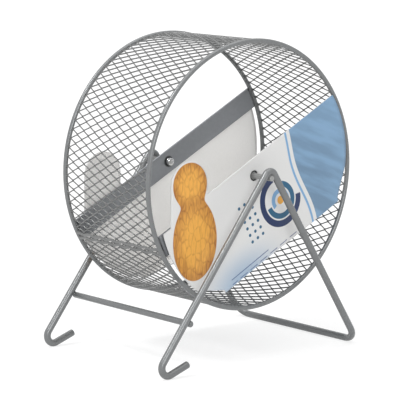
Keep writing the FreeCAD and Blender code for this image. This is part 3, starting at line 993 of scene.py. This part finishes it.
def card_section(card):
    """Rows of the folded sheet, from tab's top to tab's top: y, height, and 0 at the front to 1 at the rear.

    The panels are level in y. The web between their feet rises to a crease along its middle.
    """
    front = panel_heights(card, card.front_top, card.ledge, 0)
    rear = panel_heights(card, card.rear_top, card.rear_top, 1)[::-1]
    corners = [
        (-CARD_OUT, front[-1]), (-CARD_OUT, -card.drop), (0.0, -card.ridge),
        (CARD_OUT, -card.rear_drop), (CARD_OUT, rear[0]),
    ]
    web_y, web_up = eased(corners, 1.5 * card.fold)[1:-1].T
    y = np.concatenate([np.full_like(front, -CARD_OUT), web_y, np.full_like(rear, CARD_OUT)])
    up = np.concatenate([front, web_up, rear])
    return y[:, None], up[:, None], (y[:, None] / CARD_OUT + 1) / 2


def round_through(spots):
    """Middle and radius of the circle through three spots, from |s|^2 = 2 s.c + d solved for c and d."""
    rows = np.concatenate([2 * spots, np.ones((3, 1))], axis=1)
    along, up, rest = np.linalg.solve(rows, (spots ** 2).sum(axis=1))
    return along, up, math.sqrt(rest + along ** 2 + up ** 2)


def card_ends(card, up, rear):
    """Left and right end of the sheet along the tilt, at heights: an arc, a cut corner and the web's end."""

    def end(top, cut, distances, web, low):
        """One end: along + sqrt(radius^2 - (up - middle)^2) down to the cut, then straight to the web."""
        heights = np.array([top, (top - cut) / 2, -cut])
        spots = np.stack([np.sqrt(np.square(distances) - heights ** 2), heights], axis=-1)
        along, middle, radius = round_through(spots)
        arc = along + np.sqrt(np.maximum(radius ** 2 - (up - middle) ** 2, 0.0))
        slope = np.clip((-up - cut) / (low - cut), 0, 1)
        return np.where(up > -cut, arc, spots[2, 0] + (web - spots[2, 0]) * slope)

    front_foot, rear_foot = foot(card, np.array([0, 1]))
    on_web = (rear > 0) & (rear < 1)
    left, right = [
        np.where(on_web, web, np.where(
            rear > 0.5,
            end(card.rear_top, card.rear_cut, card.rear_ends, web, rear_foot),
            end(top, cut, distances, web, front_foot),
        ))
        for top, cut, distances, web in (
            (card.ledge, card.left_cut, card.left_ends, card.web_left),
            (card.front_top, card.right_cut, card.right_ends, card.web_right),
        )
    ]
    return -left, right


def tab_sides(card, up, rear):
    """Left and right side of the tab along the tilt, at heights: two upright lines under a round top."""
    turn = settings().drum.bar_tilt
    cos, sin = math.cos(turn), math.sin(turn)
    middle_along, middle_up = tab_middle(card, rear)
    bulge = np.sqrt(np.maximum(card.tab_radius ** 2 - (up - middle_up) ** 2, 0.0))
    lines = [(card.tab_x + side * card.tab_radius + up * sin) / cos for side in (-1, 1)]
    left = np.where(up > middle_up + card.tab_radius * sin, middle_along - bulge, lines[0])
    right = np.where(up > middle_up - card.tab_radius * sin, middle_along + bulge, lines[1])
    return left, right


def card_patch(card, along, high, out):
    """Patch of a grid of the card, given along and across the tilt and in y.

    The front panel's foot sinks to the right in half a cosine wave. The panels belly out below the bars, with
    sin of the depth times cos of the distance along, and their cut corners curl in with the square of both.
    """
    sink_left, sink_run = 34 * MM, 70 * MM
    panel_depth, belly_top, belly_span = 0.4 * MM, 8 * MM, 150 * MM
    curl_from, curl_run, curl_depth = card.web_left * 0.9, 12 * MM, card.drop * 0.5
    high, out = [np.broadcast_to(value, along.shape) for value in (high, out)]
    slant = (1 - np.cos(np.pi * np.clip((along + sink_left) / sink_run, 0, 1))) / 2
    high = high - card.front_sink * slant * np.clip(-high / card.drop, 0, 1) * np.clip(-out / CARD_OUT, 0, 1)
    on_panel = np.clip((np.abs(out) - CARD_OUT + panel_depth) / panel_depth, 0, 1)
    belly = np.clip((-high - belly_top) / (card.drop - belly_top), 0, 1)
    bow = card.bow * np.sin(np.pi * belly) * np.cos(np.clip(along / belly_span, -0.5, 0.5) * np.pi)
    corner = np.clip((np.abs(along) - curl_from) / curl_run, 0, 1)
    low = np.clip((-high - curl_depth) / curl_depth, 0, 1)
    curl = card.curl * corner ** 2 * low ** 2
    return patch(tilted(along, high, out + np.sign(out) * on_panel * (bow - curl)))


def card_shape(card):
    """The card as one folded sheet: rows of its section, carried along the tilt between its two ends.

    Two lines from the tab's roots to the web part it into three grids. Round the hole the square grid is
    drawn out to a circle: a point at square distance m and distance r from the axle moves out by the factor
    1 + w * (hole / half * m / r - 1), with w falling from 1 at the hole's edge to 0 near the block's edge.
    """
    tiny, hair = 1e-9, 1e-6
    y, up, rear = card_section(card)
    left, right = card_ends(card, up, rear)
    tab_left, tab_right = tab_sides(card, up, rear)
    tops = np.array([card.front_top, card.rear_top])
    ledges = np.array([card.ledge, card.rear_top])
    top, ledge = [pair[(rear > 0.5).astype(int)] for pair in (tops, ledges)]
    sides = np.array([0, 1])
    leads = tab_sides(card, ledges, sides)[0] - card_ends(card, ledges, sides)[0]
    roots = tab_sides(card, tops, sides)[1]
    first = np.where(up > ledge + tiny, tab_left, left + leads[0] + (leads[1] - leads[0]) * rear)
    second = np.where(up > top + tiny, tab_right, roots[0] + (roots[1] - roots[0]) * rear)
    shelf = up[:, 0] <= ledge[:, 0] + tiny
    band = up[:, 0] <= top[:, 0] + tiny
    block = card.hub_block
    band_grid = np.concatenate([
        second[band] + (-block - second[band]) * np.linspace(0, 1, 13)[:-1],
        np.repeat(np.linspace(-block, block, HUB_STEPS)[None], band.sum(), 0),
        block + (right[band] - block) * np.linspace(0, 1, 25)[1:],
    ], axis=1)
    half = card.hole * 2 / 3
    edge = block * 0.95
    square = np.maximum(np.abs(band_grid), np.abs(up[band]))
    weight = np.clip((edge - square) / (edge - half), 0, 1)
    distance = np.maximum(np.hypot(band_grid, up[band]), tiny)
    draw = 1 + weight * (card.hole / half * square / distance - 1)
    draw = np.where(np.abs(y[band]) > CARD_OUT - hair, draw, 1.0)
    points, quads = card_patch(card, band_grid * draw, up[band] * draw, y[band])
    inside = (square < half - hair).ravel()
    quads = quads[~inside[quads].any(axis=1)]
    tab = card_patch(card, first + (second - first) * np.linspace(0, 1, 15), up, y)
    end_grid = left[shelf] + (first[shelf] - left[shelf]) * np.linspace(0, 1, 7)
    return joined((points, quads), tab, card_patch(card, end_grid, up[shelf], y[shelf]))


# Rounding of the rods' ends, sharpest bends that stay smooth in degrees, figures of the finishes and painted
# shade

ROD_ROUND = 0.45 * MM
STUB_ROUND = 0.4 * MM
TURNED_SMOOTH = 60.0
FLAT_SMOOTH = 50.0
MESH_LUSTRE = 0.4
BAR_DULLING = 0.04
# Painted shade on the bars: darker towards the ends, near black at their shaded ends, dark in the gap round
# the bush.
BAR_PAINTED_SHADE = ((35.0, 80.0, 0.22), (72.0, 73.0, 0.6), (3.6, 3.0, 0.85))
# Painted shade on the bushes: dark round the collar's edge, in the gap of the card's hole.
BUSH_PAINTED_SHADE = ((1.9, 2.3, 0.95),)


# Operators

class WHEEL_OT_stand(bpy.types.Operator):
    """Make the bent wire, the rod across it and their welds"""
    bl_idname = "exercise_wheel.stand"
    bl_label = "Wire Stand"

    def execute(self, context):
        sizes = settings().stand
        looks = settings().finish
        paint = enamel("stand_enamel", looks.paint, looks.gloss)
        rod = rod_shape("cross_rod", ROD_ROUND)
        add_piece("bent_wire", stand_shape(sizes), STAND, [paint], ["stand_wire"])
        add_piece("low_rod", rod, STAND, [paint], ["cross_rod"])
        add_piece("rod_welds", rod_welds(sizes), STAND, [paint])
        add_piece("apex_welds", apex_welds(sizes), STAND, [paint])
        return {"FINISHED"}


class WHEEL_OT_axles(bpy.types.Operator):
    """Make the two stub axles and the bright caps on their inner ends"""
    bl_idname = "exercise_wheel.axles"
    bl_label = "Stub Axles and Caps"

    def execute(self, context):
        looks = settings().finish
        paint = enamel("axle_enamel", looks.hub_paint, looks.gloss)
        steel = bright_steel("cap_steel", looks.steel)
        for end in ENDS:
            stub = end + "_axle_stub"
            add_piece(end + "_stub_axle", rod_shape(stub, STUB_ROUND), STAND, [paint], [stub])
            cap = cap_shape(end)
            add_piece(end + "_push_cap", cap, STAND, [steel], [end + "_axle_cap"], TURNED_SMOOTH)
        return {"FINISHED"}


class WHEEL_OT_bushes(bpy.types.Operator):
    """Make the two spool-shaped bushes"""
    bl_idname = "exercise_wheel.bushes"
    bl_label = "Bushes"

    def execute(self, context):
        looks = settings().finish
        paint = enamel("bush_enamel", looks.hub_paint, looks.gloss, painted_shades=BUSH_PAINTED_SHADE)
        for end in ENDS:
            bush = bush_shape(end)
            add_piece(end + "_spool_bush", bush, WHEEL, [paint], [end + "_bush"], TURNED_SMOOTH)
        return {"FINISHED"}


class WHEEL_OT_drum(bpy.types.Operator):
    """Make the two wire rims and the diamond mesh rolled between them"""
    bl_idname = "exercise_wheel.drum"
    bl_label = "Mesh Drum"

    def execute(self, context):
        sizes = settings().drum
        looks = settings().finish
        paint = enamel("rim_enamel", looks.paint, looks.gloss)
        mesh_paint = enamel("mesh_enamel", looks.mesh_paint, looks.gloss, MESH_LUSTRE)
        for end in ENDS:
            rim = rim_shape(end + "_rim", sizes.rim_weld)
            add_piece(end + "_rim_wire", rim, WHEEL, [paint], [end + "_rim"])
        mesh = mesh_shape(sizes)
        add_piece("diamond_mesh", mesh, WHEEL, [mesh_paint], ["running_mesh"], FLAT_SMOOTH)
        return {"FINISHED"}


class WHEEL_OT_bars(bpy.types.Operator):
    """Make the flat bar across each open face and its welds"""
    bl_idname = "exercise_wheel.bars"
    bl_label = "Flat Bars"

    def execute(self, context):
        sizes = settings().drum
        looks = settings().finish
        # The bars' paint is painted lighter than the wires' and carries painted shade.
        paint = enamel("bar_enamel", looks.bar_paint_lightened, looks.gloss + BAR_DULLING, painted_shades=BAR_PAINTED_SHADE)
        for end in ENDS:
            bar = bar_shape(end, sizes)
            nodes = [end + "_crossbar"]
            add_piece(end + "_flat_bar", bar, WHEEL, [paint], nodes, FLAT_SMOOTH)
        add_piece("bar_welds", bar_welds(sizes), WHEEL, [paint])
        return {"FINISHED"}


class WHEEL_OT_card(bpy.types.Operator):
    """Make the folded card with its printed outer face"""
    bl_idname = "exercise_wheel.card"
    bl_label = "Printed Card"

    def execute(self, context):
        card = settings().card
        looks = settings().finish
        faces = [
            printed_card("card_print", looks, settings().drum.bar_tilt),
            raw_board("card_inner_face", looks.board),
            raw_board("card_edge", looks.white),
        ]
        sheet = card_shape(card)
        piece = add_piece("folded_card", sheet, WHEEL, faces, ["card_sleeve"], FLAT_SMOOTH)
        wall = piece.modifiers.new("card_thickness", "SOLIDIFY")
        wall.thickness = card.thickness
        wall.offset = -1.0
        wall.use_even_offset = True
        wall.material_offset = 1
        wall.material_offset_rim = 2
        return {"FINISHED"}


class WHEEL_OT_stage(bpy.types.Operator):
    """Set the floor, the lamps, the surroundings and the camera"""
    bl_idname = "exercise_wheel.stage"
    bl_label = "Studio"

    def execute(self, context):
        studio = settings().studio
        bpy.context.scene.view_settings.view_transform = "Standard"
        self.floor(studio)
        self.surroundings(studio)
        self.lamp("key_lamp", studio.key, (0.05, 0.0, 1.0), 70.0)
        self.lamp("fill_lamp", studio.fill, (-0.45, -0.85, 0.4), 34.0)
        self.lamp("strip_lamp", studio.strip, (-0.55, 0.1, 0.83), 14.0)
        self.camera(studio)
        return {"FINISHED"}

    def floor(self, studio):
        """A wide floor that lights the object from below, keeps its shadow and looks white."""
        reach = 30.0
        corners = [(-reach, -reach, 0.0), (reach, -reach, 0.0), (reach, reach, 0.0), (-reach, reach, 0.0)]
        mesh = bpy.data.meshes.new("floor")
        mesh.from_pydata(corners, [], [(0, 1, 2, 3)])
        material = bpy.data.materials.new("pale_floor")
        material.use_nodes = True
        tree = material.node_tree
        tree.nodes.clear()
        start = Signal(tree)
        seen = seen_directly(start)
        grey = seen * (studio.floor - studio.floor_bounce) + studio.floor_bounce
        dull = start.node("ShaderNodeBsdfDiffuse", inputs={"Color": grey})
        glow = start.node("ShaderNodeEmission", inputs={"Strength": seen * studio.floor_lift})
        both = start.node("ShaderNodeAddShader", inputs={0: dull, 1: glow})
        start.node("ShaderNodeOutputMaterial", inputs={"Surface": both})
        mesh.materials.append(material)
        floor = bpy.data.objects.new("floor", mesh)
        bpy.context.scene.collection.objects.link(floor)

    def surroundings(self, studio):
        """Even light from all round, which the camera and reflections see as white."""
        world = bpy.data.worlds.new("studio")
        world.use_nodes = True
        tree = world.node_tree
        tree.nodes.clear()
        start = Signal(tree)
        strength = seen_directly(start) * (1.0 - studio.sky) + studio.sky
        light = start.node("ShaderNodeBackground", inputs={"Color": (1, 1, 1, 1), "Strength": strength})
        start.node("ShaderNodeOutputWorld", inputs={"Surface": light})
        bpy.context.scene.world = world

    def lamp(self, name, strength, towards, spread):
        """A soft lamp far away in a direction from the object."""
        data = bpy.data.lights.new(name, "SUN")
        data.energy = strength
        data.angle = math.radians(spread)
        lamp = bpy.data.objects.new(name, data)
        lamp.rotation_euler = Vector(towards).to_track_quat("Z", "Y").to_euler()
        bpy.context.scene.collection.objects.link(lamp)

    def camera(self, studio):
        """The camera at its place, turned by its azimuth, elevation and roll."""
        back = Vector((
            math.sin(studio.azimuth) * math.cos(studio.elevation),
            -math.cos(studio.azimuth) * math.cos(studio.elevation),
            math.sin(studio.elevation),
        ))
        right = Vector((0, 0, 1)).cross(back).normalized()
        up = back.cross(right)
        axes = Matrix((right, up, back)).transposed() @ Matrix.Rotation(studio.roll, 3, "Z")
        data = bpy.data.cameras.new("camera")
        data.lens = studio.lens
        data.sensor_width = 36.0
        camera = bpy.data.objects.new("camera", data)
        camera.matrix_world = Matrix.Translation(Vector(studio.eye) + Vector(AXLE)) @ axes.to_4x4()
        bpy.context.scene.collection.objects.link(camera)
        bpy.context.scene.camera = camera


def seen_directly(start):
    """1 for rays from the camera and for reflections, 0 for the rest."""
    camera = start.node("ShaderNodeLightPath", output="Is Camera Ray")
    glossy = start.node("ShaderNodeLightPath", output="Is Glossy Ray")
    return (camera + glossy).limit()


class WHEEL_PT_sidebar(bpy.types.Panel):
    """Lists the pieces and the sizes and colours that make them"""
    bl_label = "Exercise Wheel"
    bl_idname = "WHEEL_PT_sidebar"
    bl_space_type = "VIEW_3D"
    bl_region_type = "UI"
    bl_category = "Wheel"

    def draw(self, context):
        for operator in OPERATORS:
            self.layout.operator(operator.bl_idname)
        for name in WheelSettings.__annotations__:
            group = getattr(settings(), name)
            box = self.layout.box()
            for key in group.__annotations__:
                box.prop(group, key)


GROUPS = (StandSizes, DrumSizes, CardSizes, FinishSettings, StudioSettings, WheelSettings)
OPERATORS = (
    WHEEL_OT_stage, WHEEL_OT_stand, WHEEL_OT_axles, WHEEL_OT_bushes,
    WHEEL_OT_drum, WHEEL_OT_bars, WHEEL_OT_card,
)
CLASSES = GROUPS + OPERATORS + (WHEEL_PT_sidebar,)


def register():
    for item in CLASSES:
        bpy.utils.register_class(item)
    bpy.types.Scene.exercise_wheel = PointerProperty(type=WheelSettings)


def unregister():
    del bpy.types.Scene.exercise_wheel
    for item in reversed(CLASSES):
        bpy.utils.unregister_class(item)


def main():
    """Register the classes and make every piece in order."""
    register()
    for operator in OPERATORS:
        group, name = operator.bl_idname.split(".")
        getattr(getattr(bpy.ops, group), name)()


if __name__ == "__main__":
    main()
